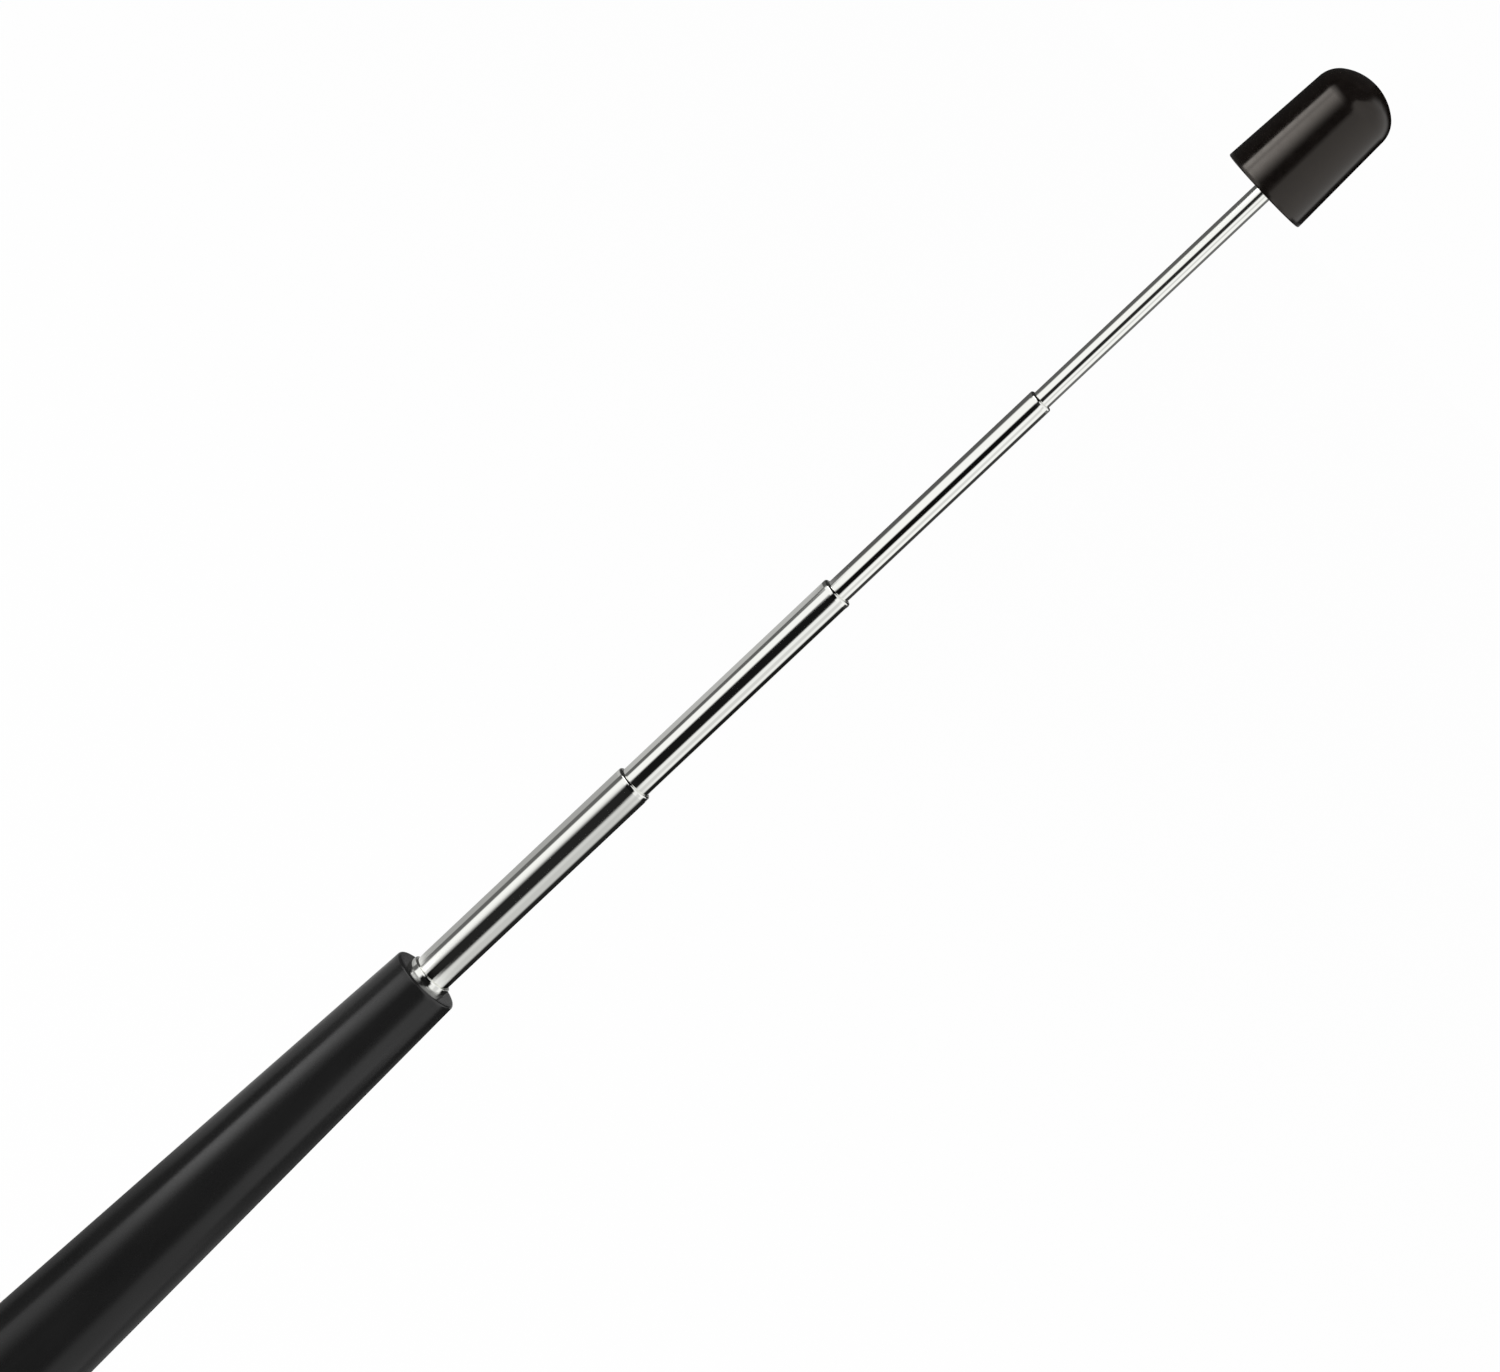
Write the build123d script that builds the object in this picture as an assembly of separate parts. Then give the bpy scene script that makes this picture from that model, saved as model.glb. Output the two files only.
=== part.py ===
from build123d import *
import math
import os

# Telescopic mast of an indoor television antenna, in millimetres.
# +Z runs up the mast. The origin is the centre of the sleeve's flat lower end.
# The mast is drawn out as far as the photograph shows.

# Sleeve: a tapered moulding, cored out below the collar that grips the fixed tube
sleeve_length = 99.7
sleeve_base_diameter = 18.0
sleeve_mouth_diameter = 11.0
sleeve_wall = 1.8
sleeve_mouth_chamfer = 0.4
sleeve_base_chamfer = 0.4
collar_depth = 22.0
web_count = 4
web_thickness = 1.2

# End plug that closes the wide end of the sleeve
plug_thickness = 3.0
plug_rim_wall = 1.2
plug_boss_diameter = 10.0
plug_boss_height = 9.0

# Threaded insert in the end plug: flange below, shank inside the fixed tube
insert_flange_diameter = 8.4
insert_flange_thickness = 1.4
insert_shank_length = 12.0
thread_core_diameter = 3.3
thread_depth = 10.0
thread_lead_in = 0.4

# Fixed tube and the four sliding ones: each diameter follows from the tube around it
outer_tube_diameter = 7.0
outer_tube_wall = 0.3
tube_1_wall = 0.3
tube_2_wall = 0.4
tube_3_wall = 0.25
tube_4_wall = 0.3
shoe_gap = 0.2
lip_height = 0.8
lip_clearance = 0.05
lip_chamfer = 0.3
pull_out_clearance = 0.1

# How far each lip stands above the one before it, as photographed
outer_tube_reach = 1.2
tube_1_reach = 40.8
tube_2_reach = 40.0
tube_3_reach = 39.4
tube_4_reach = 42.1

# Foot bush in the lower end of each sliding tube
foot_flange_height = 0.6
foot_spigot_height = 3.0
foot_bush_wall = 0.4
foot_clearance = 0.05

# Friction shoes: two half shells on each sliding tube, tabbed through its wall
shoe_length = 5.0
shoe_clearance = 0.03
shoe_split = 0.5
shoe_slot_width = 0.25
shoe_slot_length = 3.0
shoe_slot_angle = 35.0
tab_width = 0.9
tab_height = 1.2
tab_rise = 0.9
tab_clearance = 0.03

# Plug crimped in the fixed tube, where the first sliding tube lands
stop_plug_length = 7.0
crimp_width = 1.6
crimp_depth = 0.35

# Tip: a ferrule on the last tube, moulded into the cap
ferrule_wall = 0.93
ferrule_length = 8.0
ferrule_groove_depth = 0.4
ferrule_groove_width = 1.0
cap_length = 21.1
cap_base_diameter = 13.85
cap_shoulder_diameter = 12.66
cap_dome_height = 4.9
cap_base_edge = 0.25
cap_skirt_depth = 1.2
cap_mouth_clearance = 0.3

# Gap left between pieces that are pressed or seated together
seat_clearance = 0.02


# Radii and heights worked out from the sizes above
walls = [outer_tube_wall, tube_1_wall, tube_2_wall, tube_3_wall, tube_4_wall]
reaches = [outer_tube_reach, tube_1_reach, tube_2_reach, tube_3_reach, tube_4_reach]
outer_radii = [outer_tube_diameter / 2]
bore_radii = [outer_tube_diameter / 2 - outer_tube_wall]
for wall in walls[1:]:
    outer_radii.append(bore_radii[-1] - shoe_gap)
    bore_radii.append(outer_radii[-1] - wall)

# All sliding tubes are cut to one length, which lets the one drawn out furthest reach its stop
tube_length = max(reaches[1:]) + pull_out_clearance + lip_height + shoe_length

lip_tops = [sleeve_length + outer_tube_reach]
for reach in reaches[1:]:
    lip_tops.append(lip_tops[-1] + reach)
tube_ends = [top - tube_length for top in lip_tops]
stop_height = tube_ends[0] + foot_spigot_height
cap_base = lip_tops[-1]


def turned(*outline):
    """Solid of revolution about the mast's axis, from (radius, height) points."""
    return revolve(Plane.XZ * make_face(Polyline(*outline, close=True)), Axis.Z)


def upright_box(x_size, y_size, z_size, x_centre, z_bottom):
    """Box whose centre plane holds the mast's axis, standing on a given height."""
    return Pos(x_centre, 0, z_bottom + z_size / 2) * Box(x_size, y_size, z_size)


def sleeve_radius(height):
    """Outside radius of the sleeve at a height."""
    narrowing = (sleeve_base_diameter - sleeve_mouth_diameter) / 2
    return sleeve_base_diameter / 2 - narrowing * height / sleeve_length


# Sleeve: taper, core below the collar, webs that centre the fixed tube, seat for the end plug
tube_seat_radius = outer_radii[0] + seat_clearance
plug_seat_radius = sleeve_base_diameter / 2 - plug_rim_wall
collar_bottom = sleeve_length - collar_depth
web_bottom = plug_thickness + plug_boss_height + seat_clearance


def make_sleeve():
    body = turned(
        (0, 0),
        (sleeve_base_diameter / 2, 0),
        (sleeve_mouth_diameter / 2, sleeve_length),
        (0, sleeve_length),
    )
    rims = body.edges().filter_by(GeomType.CIRCLE).sort_by(Axis.Z)
    body = chamfer(rims[0], sleeve_base_chamfer)
    rims = body.edges().filter_by(GeomType.CIRCLE).sort_by(Axis.Z)
    body = chamfer(rims[-1], sleeve_mouth_chamfer)
    core = turned(
        (0, plug_thickness),
        (sleeve_radius(plug_thickness) - sleeve_wall, plug_thickness),
        (sleeve_radius(collar_bottom) - sleeve_wall, collar_bottom),
        (0, collar_bottom),
    )
    web_height = collar_bottom - web_bottom
    for turn in range(web_count):
        web = upright_box(
            sleeve_base_diameter / 2, web_thickness, web_height,
            sleeve_base_diameter / 4, web_bottom,
        )
        core -= Rot(0, 0, 360 / web_count * turn) * web
    plug_seat = turned(
        (0, 0), (plug_seat_radius, 0), (plug_seat_radius, plug_thickness), (0, plug_thickness)
    )
    tube_seat = turned(
        (0, 0), (tube_seat_radius, 0), (tube_seat_radius, sleeve_length), (0, sleeve_length)
    )
    return body - core - plug_seat - tube_seat


# End plug: a disc on the sleeve's inner shoulder, with a boss round the fixed tube
def make_base_plug():
    boss_top = plug_thickness + plug_boss_height
    flange_seat = insert_flange_diameter / 2 + seat_clearance
    return turned(
        (flange_seat, 0),
        (plug_seat_radius - seat_clearance, 0),
        (plug_seat_radius - seat_clearance, plug_thickness),
        (plug_boss_diameter / 2, plug_thickness),
        (plug_boss_diameter / 2, boss_top),
        (tube_seat_radius, boss_top),
        (tube_seat_radius, insert_flange_thickness),
        (flange_seat, insert_flange_thickness),
    )


# Crimps: the fixed tube is rolled into a groove in the insert's shank and in the stop plug
insert_crimp_height = insert_flange_thickness + insert_shank_length / 2
stop_crimp_height = stop_height - stop_plug_length / 2


def crimp_ring(surface_radius, height, room=0):
    """What a crimp takes up below a round surface: a ring that narrows to half its width."""
    back = surface_radius + outer_tube_wall / 2
    floor = surface_radius - crimp_depth - room
    half_mouth = crimp_width / 2 + room
    half_floor = crimp_width / 4 + room
    return turned(
        (back, height - half_mouth),
        (surface_radius, height - half_mouth),
        (floor, height - half_floor),
        (floor, height + half_floor),
        (surface_radius, height + half_mouth),
        (back, height + half_mouth),
    )


def make_base_insert():
    shank_radius = bore_radii[0] - seat_clearance
    core_radius = thread_core_diameter / 2
    shank_top = insert_flange_thickness + insert_shank_length
    body = turned(
        (core_radius + thread_lead_in, 0),
        (insert_flange_diameter / 2, 0),
        (insert_flange_diameter / 2, insert_flange_thickness),
        (shank_radius, insert_flange_thickness),
        (shank_radius, shank_top),
        (0, shank_top),
        (0, thread_depth),
        (core_radius, thread_depth),
        (core_radius, thread_lead_in),
    )
    return body - crimp_ring(bore_radii[0], insert_crimp_height, seat_clearance)


def make_stop_plug():
    plug_radius = bore_radii[0] - seat_clearance
    plug_bottom = stop_height - stop_plug_length
    body = turned(
        (0, plug_bottom), (plug_radius, plug_bottom), (plug_radius, stop_height), (0, stop_height)
    )
    return body - crimp_ring(bore_radii[0], stop_crimp_height, seat_clearance)


# Tubes: thin walls that end in a lip rolled inwards round the next tube
def tube_outline(stage, bottom):
    """Section of a tube whose lip closes in on the tube that slides in it."""
    outside = outer_radii[stage]
    bore = bore_radii[stage]
    hole = outer_radii[stage + 1] + lip_clearance
    top = lip_tops[stage]
    section = make_face(
        Polyline(
            (bore, bottom),
            (outside, bottom),
            (outside, top),
            (hole, top),
            (hole, top - lip_height),
            (bore, top - lip_height),
            close=True,
        )
    )
    rim = section.vertices().sort_by_distance((outside, top, 0))[0]
    return chamfer(rim, lip_chamfer)


def make_outer_tube():
    tube = revolve(Plane.XZ * tube_outline(0, insert_flange_thickness), Axis.Z)
    for height in (insert_crimp_height, stop_crimp_height):
        tube += crimp_ring(bore_radii[0], height)
        tube -= crimp_ring(outer_radii[0], height)
    return tube


def tab_window(stage):
    """The two holes through a tube's wall that take the tabs of its shoes."""
    width = tab_width + 2 * tab_clearance
    height = tab_height + 2 * tab_clearance
    length = 2 * (outer_radii[stage] + shoe_gap)
    return upright_box(length, width, height, 0, tube_ends[stage] + tab_rise - tab_clearance)


def make_tube(stage):
    return revolve(Plane.XZ * tube_outline(stage, tube_ends[stage]), Axis.Z) - tab_window(stage)


def make_last_tube():
    """The thinnest tube has no lip: it runs on into the ferrule in the cap."""
    bottom = tube_ends[4]
    top = cap_base + cap_skirt_depth + ferrule_length
    tube = turned(
        (bore_radii[4], bottom), (outer_radii[4], bottom), (outer_radii[4], top), (bore_radii[4], top)
    )
    return tube - tab_window(4)


# Foot bush: the flange carries the shoes and lands on the bush or plug below it
def make_foot_bush(stage):
    end = tube_ends[stage]
    flange = bore_radii[stage - 1] - foot_clearance
    spigot = bore_radii[stage] - seat_clearance
    hole = spigot - foot_bush_wall
    return turned(
        (hole, end - foot_flange_height),
        (flange, end - foot_flange_height),
        (flange, end),
        (spigot, end),
        (spigot, end + foot_spigot_height),
        (hole, end + foot_spigot_height),
    )


# Friction shoes: half shells with spring fingers above and a tab below
def make_shoe(stage, side):
    """One of the two shoes of a tube; side is 1 or -1 along X."""
    end = tube_ends[stage]
    inside = outer_radii[stage] + seat_clearance
    outside = bore_radii[stage - 1] - shoe_clearance
    shell = turned((inside, end), (outside, end), (outside, end + shoe_length), (inside, end + shoe_length))
    slot_bottom = end + shoe_length - shoe_slot_length
    for angle in (-shoe_slot_angle, shoe_slot_angle):
        slot = upright_box(2 * outside, shoe_slot_width, shoe_slot_length, outside, slot_bottom)
        shell -= Rot(0, 0, angle) * slot
    half = upright_box(outside, 2 * outside, shoe_length, (outside + shoe_split) / 2, end)
    shell &= half
    tab_reach = walls[stage]
    tab = upright_box(
        tab_reach + shoe_gap, tab_width, tab_height,
        inside - tab_reach + (tab_reach + shoe_gap) / 2, end + tab_rise,
    )
    tab &= Pos(0, 0, end + shoe_length / 2) * Cylinder((inside + outside) / 2, shoe_length)
    shoe = shell + tab
    return shoe if side == 1 else Rot(0, 0, 180) * shoe


# Tip: grooved ferrule pressed on the last tube, and the cap moulded round it
ferrule_bottom = cap_base + cap_skirt_depth
ferrule_top = ferrule_bottom + ferrule_length


def ferrule_outline(clearance):
    """Outside of the ferrule with its locking groove, as (radius, height) points."""
    radius = outer_radii[4] + seat_clearance + ferrule_wall + clearance
    waist = radius - ferrule_groove_depth
    middle = (ferrule_bottom + ferrule_top) / 2
    half_width = ferrule_groove_width / 2 - clearance
    return [
        (radius, ferrule_bottom),
        (radius, middle - half_width),
        (waist, middle - half_width),
        (waist, middle + half_width),
        (radius, middle + half_width),
        (radius, ferrule_top + clearance),
    ]


def make_tip_ferrule():
    bore = outer_radii[4] + seat_clearance
    return turned(*ferrule_outline(0), (bore, ferrule_top), (bore, ferrule_bottom))


def dome_outline(radius, height, top):
    """Quarter of an oval from the wall to the axis: a corner arc tangent to a crown arc."""
    span = math.hypot(radius, height)
    corner_radius = span * (span - radius + height) / (2 * radius)
    crown_radius = span * (span + radius - height) / (2 * height)
    lean = math.atan2(radius - corner_radius, crown_radius - height)
    crown_drop = crown_radius * (1 - math.cos(lean))
    meeting = (crown_radius * math.sin(lean), top - crown_drop)
    return [
        RadiusArc((radius, top - height), meeting, -corner_radius),
        RadiusArc(meeting, (0, top), -crown_radius),
    ]


def make_tip_cap():
    base = cap_base_diameter / 2
    shoulder = cap_shoulder_diameter / 2
    apex = cap_base + cap_length
    skirt = Polyline(
        (0, cap_base),
        (base - cap_base_edge, cap_base),
        (base, cap_base + cap_base_edge),
        (shoulder, apex - cap_dome_height),
    )
    dome = dome_outline(shoulder, cap_dome_height, apex)
    axis_line = Line((0, apex), (0, cap_base))
    body = revolve(Plane.XZ * make_face(Curve() + [skirt, *dome, axis_line]), Axis.Z)
    mouth = outer_radii[4] + cap_mouth_clearance
    socket = turned(
        (0, cap_base),
        (mouth, cap_base),
        (mouth, ferrule_bottom),
        *ferrule_outline(seat_clearance),
        (0, ferrule_top + seat_clearance),
    )
    return body - socket


pieces = {
    "sleeve": make_sleeve(),
    "base_plug": make_base_plug(),
    "base_insert": make_base_insert(),
    "outer_tube": make_outer_tube(),
    "stop_plug": make_stop_plug(),
}
for stage in (1, 2, 3, 4):
    pieces[f"tube_{stage}"] = make_last_tube() if stage == 4 else make_tube(stage)
    pieces[f"foot_bush_{stage}"] = make_foot_bush(stage)
    pieces[f"shoe_{stage}_right"] = make_shoe(stage, 1)
    pieces[f"shoe_{stage}_left"] = make_shoe(stage, -1)
pieces["tip_ferrule"] = make_tip_ferrule()
pieces["tip_cap"] = make_tip_cap()

os.makedirs("parts", exist_ok=True)
for name, piece in pieces.items():
    export_step(piece, f"parts/{name}.step")
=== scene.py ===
# %% [markdown]
# # A telescopic antenna mast, piece by piece
# The mast belongs to an indoor television antenna. Chromed tubes slide out of a tapered black
# sleeve, and the thinnest one carries a bullet-shaped cap. Nearly everything on it was turned or
# drawn round one line, so this lesson is about one tool above all: an outline spun about an axis.
# We start by loading the measured model, which gives every piece its size and place.

# %% Load the measured model
import math

import bmesh
import bpy
from mathutils import Matrix, Vector


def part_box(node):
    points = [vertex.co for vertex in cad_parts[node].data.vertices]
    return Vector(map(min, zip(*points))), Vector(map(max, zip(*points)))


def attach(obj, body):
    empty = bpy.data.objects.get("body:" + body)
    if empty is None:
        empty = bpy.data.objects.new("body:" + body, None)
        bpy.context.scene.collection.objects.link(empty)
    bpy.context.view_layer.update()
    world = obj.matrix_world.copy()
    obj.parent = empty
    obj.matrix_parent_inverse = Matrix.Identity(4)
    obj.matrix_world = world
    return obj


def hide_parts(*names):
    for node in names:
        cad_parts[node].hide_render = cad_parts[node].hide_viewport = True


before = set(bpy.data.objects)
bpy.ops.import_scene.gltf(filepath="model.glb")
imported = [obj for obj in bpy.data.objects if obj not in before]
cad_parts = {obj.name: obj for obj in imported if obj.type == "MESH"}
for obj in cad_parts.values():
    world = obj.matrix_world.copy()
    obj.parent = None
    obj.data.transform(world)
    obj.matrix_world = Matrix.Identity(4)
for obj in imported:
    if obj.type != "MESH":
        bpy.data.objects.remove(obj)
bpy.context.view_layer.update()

# %% [markdown]
# Blender counts in metres here, and the mast is made of tenths of millimetres. We write small
# sizes as a number times MM, so they can be read. Two short helpers ask the measured model how
# far a piece reaches: turned pieces need only a radius and two heights.

# %% Units and reach
MM = 0.001


def radius_of(node):
    """Largest distance of a turned piece from the mast's axis."""
    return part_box(node)[1].x


def heights_of(node):
    """Lowest and highest point of a piece."""
    low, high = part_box(node)
    return low.z, high.z


SLIDING = ("tube_1", "tube_2", "tube_3", "tube_4")
for tube in SLIDING:
    print(tube, "diameter", round(2 * radius_of(tube) / MM, 2), "mm")

# %% [markdown]
# ## The camera
# The photograph was taken from slightly above, through a long lens, with the camera turned on
# its side by some 47 degrees: that is why the mast runs from corner to corner. We could turn the
# mast instead, but a model that stands upright is easier to measure and to reuse, so we roll the
# camera until the mast has its slope in the picture. Its three axes are written down directly:
# look is where it looks, across is level, and rise is at right angles to both.

# %% The camera
IMAGE_WIDTH = 1500
FOCAL_LENGTH_IN_PIXELS = 5230
SENSOR_WIDTH = 36.0
CAMERA_ELEVATION = math.radians(10.2)
CAMERA_DISTANCE = 739 * MM
AIM_HEIGHT = 163.3 * MM
AIM_OFFSET = 1.147 * MM
MAST_RIGHT_IN_PICTURE, MAST_UP_IN_PICTURE = 0.72829, 0.68527
MAST_SLOPE = math.atan2(MAST_UP_IN_PICTURE, MAST_RIGHT_IN_PICTURE)

look = Vector((0, math.cos(CAMERA_ELEVATION), -math.sin(CAMERA_ELEVATION)))
across = Vector((1, 0, 0))
rise = across.cross(look)
camera_x = rise * math.cos(MAST_SLOPE) + across * math.sin(MAST_SLOPE)
camera_y = rise * math.sin(MAST_SLOPE) - across * math.cos(MAST_SLOPE)

camera = bpy.data.objects.new("camera", bpy.data.cameras.new("camera"))
camera.data.sensor_width = SENSOR_WIDTH
camera.data.lens = FOCAL_LENGTH_IN_PIXELS * SENSOR_WIDTH / IMAGE_WIDTH
turn = Matrix((camera_x, camera_y, -look)).transposed().to_4x4()
place = Vector((0, 0, AIM_HEIGHT)) - look * CAMERA_DISTANCE + across * AIM_OFFSET
camera.matrix_world = Matrix.Translation(place) @ turn
bpy.context.scene.collection.objects.link(camera)
bpy.context.scene.camera = camera
bpy.context.scene.view_settings.view_transform = "Standard"
print("lens", round(camera.data.lens, 1), "mm, camera at", [round(x, 3) for x in place])

# %% [markdown]
# ## From an outline to a piece
# A turned piece needs half of its section: a closed loop of points, each a distance from the
# axis and a height. Blender's spin carries that loop round the axis and skins it as it goes. We
# could start from a cylinder and push its rings about, but an outline says at a glance where
# every shoulder and recess is. Spin with use_merge closes the seam, and merging doubles closes
# the poles, where an outline touches the axis.

# %% Helpers: outline, spin, rounding
SPIN_STEPS = 160
RIM_SEGMENTS = 5
MERGE_DISTANCE = 0.0001 * MM


def wire(bm, points, closed=True):
    """Joins (radius, height) points by edges in the plane y = 0, and returns their vertices."""
    verts = [bm.verts.new((radius, 0, height)) for radius, height in points]
    for pair in zip(verts, verts[1:]):
        bm.edges.new(pair)
    if closed:
        bm.edges.new((verts[-1], verts[0]))
    return verts


def spin_all(bm, steps=SPIN_STEPS):
    """Carries the whole wire once round the mast's axis, and merges seam and poles."""
    bmesh.ops.spin(
        bm, geom=bm.verts[:] + bm.edges[:], cent=(0, 0, 0), axis=(0, 0, 1), dvec=(0, 0, 0),
        angle=math.tau, steps=steps, use_merge=True, use_normal_flip=False, use_duplicate=False,
    )
    bmesh.ops.remove_doubles(bm, verts=bm.verts[:], dist=MERGE_DISTANCE)
    bmesh.ops.recalc_face_normals(bm, faces=bm.faces[:])


def on_ring(vert, radius, height):
    """Whether a vertex lies on the ring of that radius and height."""
    reach = 2 * MERGE_DISTANCE
    return abs(vert.co.xy.length - radius) < reach and abs(vert.co.z - height) < reach


def round_rim(bm, radius, height, width):
    """Rounds the edge that runs round the piece at that radius and height."""
    rim = [e for e in bm.edges if all(on_ring(v, radius, height) for v in e.verts)]
    bmesh.ops.bevel(
        bm, geom=rim, offset=width, offset_type="OFFSET", affect="EDGES",
        segments=RIM_SEGMENTS, profile=0.5, material=-1, clamp_overlap=True,
    )


def spun(outline, rims=()):
    """A turned piece: rims lists (radius, height, rounding) of the edges to be rounded."""
    bm = bmesh.new()
    wire(bm, outline)
    spin_all(bm)
    for radius, height, width in rims:
        round_rim(bm, radius, height, width)
    return bm


# %% [markdown]
# A finished piece gets smooth shading that stops at real corners, a material, and a body to
# ride on, so that it moves with its joint. It also hides the measured nodes that it stands for.

# %% Helper: from bmesh to finished piece
SHARP_ANGLE = math.radians(35)


def finish_piece(bm, name, material, body, nodes):
    mesh = bpy.data.meshes.new(name)
    bm.to_mesh(mesh)
    bm.free()
    mesh.shade_smooth()
    mesh.set_sharp_from_angle(angle=SHARP_ANGLE)
    mesh.materials.append(material)
    piece = bpy.data.objects.new(name, mesh)
    bpy.context.scene.collection.objects.link(piece)
    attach(piece, body)
    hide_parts(*nodes)
    triangles = sum(len(face.vertices) - 2 for face in mesh.polygons)
    print(name, "triangles", triangles, "rides on", body)


# %% [markdown]
# ## Finishes
# Every finish is a Principled shader with a little procedural unevenness. The helper starts a
# material, and the next one adds noise in Object coordinates, which are metres on this mast.
# Noise that is drawn out along the mast turns into the fine lines that drawing leaves on a tube.
# Such a noise keeps close to 0.5, so the helpers that use it spread its middle, from NOISE_LOW to
# NOISE_HIGH, over the whole range that they are given.

# %% Helpers: materials
NOISE_LOW, NOISE_HIGH = 0.3, 0.7


def new_material(name, colour, metallic, roughness):
    material = bpy.data.materials.new(name)
    material.use_nodes = True
    shader = material.node_tree.nodes["Principled BSDF"]
    shader.inputs["Base Color"].default_value = (*colour, 1)
    shader.inputs["Metallic"].default_value = metallic
    shader.inputs["Roughness"].default_value = roughness
    print("finish", name, "metallic", metallic, "roughness", roughness)
    return material, shader


def noise(material, scale, stretch=(1, 1, 1), detail=3.0):
    """Noise of about one grain in 1 / scale metres, squeezed or stretched along the axes."""
    nodes, links = material.node_tree.nodes, material.node_tree.links
    where = nodes.new("ShaderNodeTexCoord")
    mapping = nodes.new("ShaderNodeMapping")
    mapping.inputs["Scale"].default_value = stretch
    texture = nodes.new("ShaderNodeTexNoise")
    texture.inputs["Scale"].default_value = scale
    texture.inputs["Detail"].default_value = detail
    links.new(where.outputs["Object"], mapping.inputs["Vector"])
    links.new(mapping.outputs["Vector"], texture.inputs["Vector"])
    return texture.outputs["Fac"]


def vary(material, source, target, low, high):
    """Lets a noise move one of the shader's values between low and high."""
    nodes, links = material.node_tree.nodes, material.node_tree.links
    span = nodes.new("ShaderNodeMapRange")
    span.inputs["From Min"].default_value = NOISE_LOW
    span.inputs["From Max"].default_value = NOISE_HIGH
    span.inputs["To Min"].default_value = low
    span.inputs["To Max"].default_value = high
    links.new(source, span.inputs["Value"])
    links.new(span.outputs["Result"], target)


def tint(material, shader, source, dark, light):
    """Lets a noise move the base colour between two tones."""
    nodes, links = material.node_tree.nodes, material.node_tree.links
    ramp = nodes.new("ShaderNodeValToRGB")
    ramp.color_ramp.elements[0].position = NOISE_LOW
    ramp.color_ramp.elements[0].color = (*dark, 1)
    ramp.color_ramp.elements[1].position = NOISE_HIGH
    ramp.color_ramp.elements[1].color = (*light, 1)
    links.new(source, ramp.inputs["Fac"])
    links.new(ramp.outputs["Color"], shader.inputs["Base Color"])


def roughen(material, shader, source, height):
    """Raises the surface by up to height metres where the noise is light."""
    nodes, links = material.node_tree.nodes, material.node_tree.links
    bump = nodes.new("ShaderNodeBump")
    bump.inputs["Distance"].default_value = height
    links.new(source, bump.inputs["Height"])
    links.new(bump.outputs["Normal"], shader.inputs["Normal"])


# %% [markdown]
# Chrome shows nothing of its own but the room. It is a metal with almost no roughness, and the
# drawing lines under the plating make the edges of the reflections a little uneven.

# %% Chrome
chrome, chrome_shader = new_material("chrome", (0.915, 0.92, 0.88), 1.0, 0.05)
drawing_lines = noise(chrome, scale=1500, stretch=(1, 1, 0.02))
vary(chrome, drawing_lines, chrome_shader.inputs["Roughness"], 0.03, 0.09)
roughen(chrome, chrome_shader, drawing_lines, height=0.0006 * MM)

# %% [markdown]
# The sleeve is moulded with a satin grain: a dark grey-black plastic whose reflections are
# spread into soft bands. The cap is moulded in a polished tool, so its reflections keep their
# edges, and its black is a little warm.

# %% Two black plastics
sleeve_plastic, sleeve_shader = new_material("sleeve plastic", (0.0145, 0.0145, 0.0145), 0.0, 0.2)
moulding_grain = noise(sleeve_plastic, scale=5000, detail=2.0)
moulding_flow = noise(sleeve_plastic, scale=250, stretch=(1, 1, 0.25))
sleeve_dark, sleeve_light = (0.0125, 0.0125, 0.0125), (0.0165, 0.0165, 0.0165)
tint(sleeve_plastic, sleeve_shader, moulding_flow, sleeve_dark, sleeve_light)
vary(sleeve_plastic, moulding_grain, sleeve_shader.inputs["Roughness"], 0.16, 0.25)
roughen(sleeve_plastic, sleeve_shader, moulding_grain, height=0.003 * MM)

cap_plastic, cap_shader = new_material("cap plastic", (0.0072, 0.0056, 0.0049), 0.0, 0.15)
cap_shader.inputs["Specular Tint"].default_value = (1.0, 0.92, 0.84, 1)
cap_swirl = noise(cap_plastic, scale=900)
tint(cap_plastic, cap_shader, cap_swirl, (0.006, 0.0047, 0.0041), (0.0084, 0.0065, 0.0057))
vary(cap_plastic, cap_swirl, cap_shader.inputs["Roughness"], 0.12, 0.18)
roughen(cap_plastic, cap_shader, cap_swirl, height=0.0015 * MM)

# %% [markdown]
# Brass and bronze sit out of sight in this mast, in the bushes, plugs and spring shoes. Turned
# brass has fine rings, so its noise is drawn out the other way, and bronze is a little tarnished.

# %% Brass and bronze
brass, brass_shader = new_material("turned brass", (0.78, 0.58, 0.28), 1.0, 0.25)
turning_rings = noise(brass, scale=600, stretch=(0.1, 0.1, 8))
vary(brass, turning_rings, brass_shader.inputs["Roughness"], 0.18, 0.34)
roughen(brass, brass_shader, turning_rings, height=0.002 * MM)

bronze, bronze_shader = new_material("spring bronze", (0.72, 0.45, 0.27), 1.0, 0.3)
tarnish = noise(bronze, scale=700)
tint(bronze, bronze_shader, tarnish, (0.52, 0.30, 0.17), (0.76, 0.49, 0.30))
vary(bronze, tarnish, bronze_shader.inputs["Roughness"], 0.24, 0.42)

# %% [markdown]
# ## Joining and cutting
# Webs, windows and a screw thread aren't round, so no spin makes them. For these we join a second
# solid to the first, or cut it away. Blender does that with a modifier, which works on objects:
# the helper makes two short-lived objects, takes their result as a bmesh and deletes them. A block
# and a rod are all the tools that it needs here, apart from the thread's cutter.

# %% Helpers: boolean cut and join
def loose_mesh(bm, name):
    """A helper object for a boolean, which is deleted afterwards."""
    mesh = bpy.data.meshes.new(name)
    bm.to_mesh(mesh)
    bm.free()
    helper = bpy.data.objects.new(name, mesh)
    bpy.context.scene.collection.objects.link(helper)
    return helper


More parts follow.
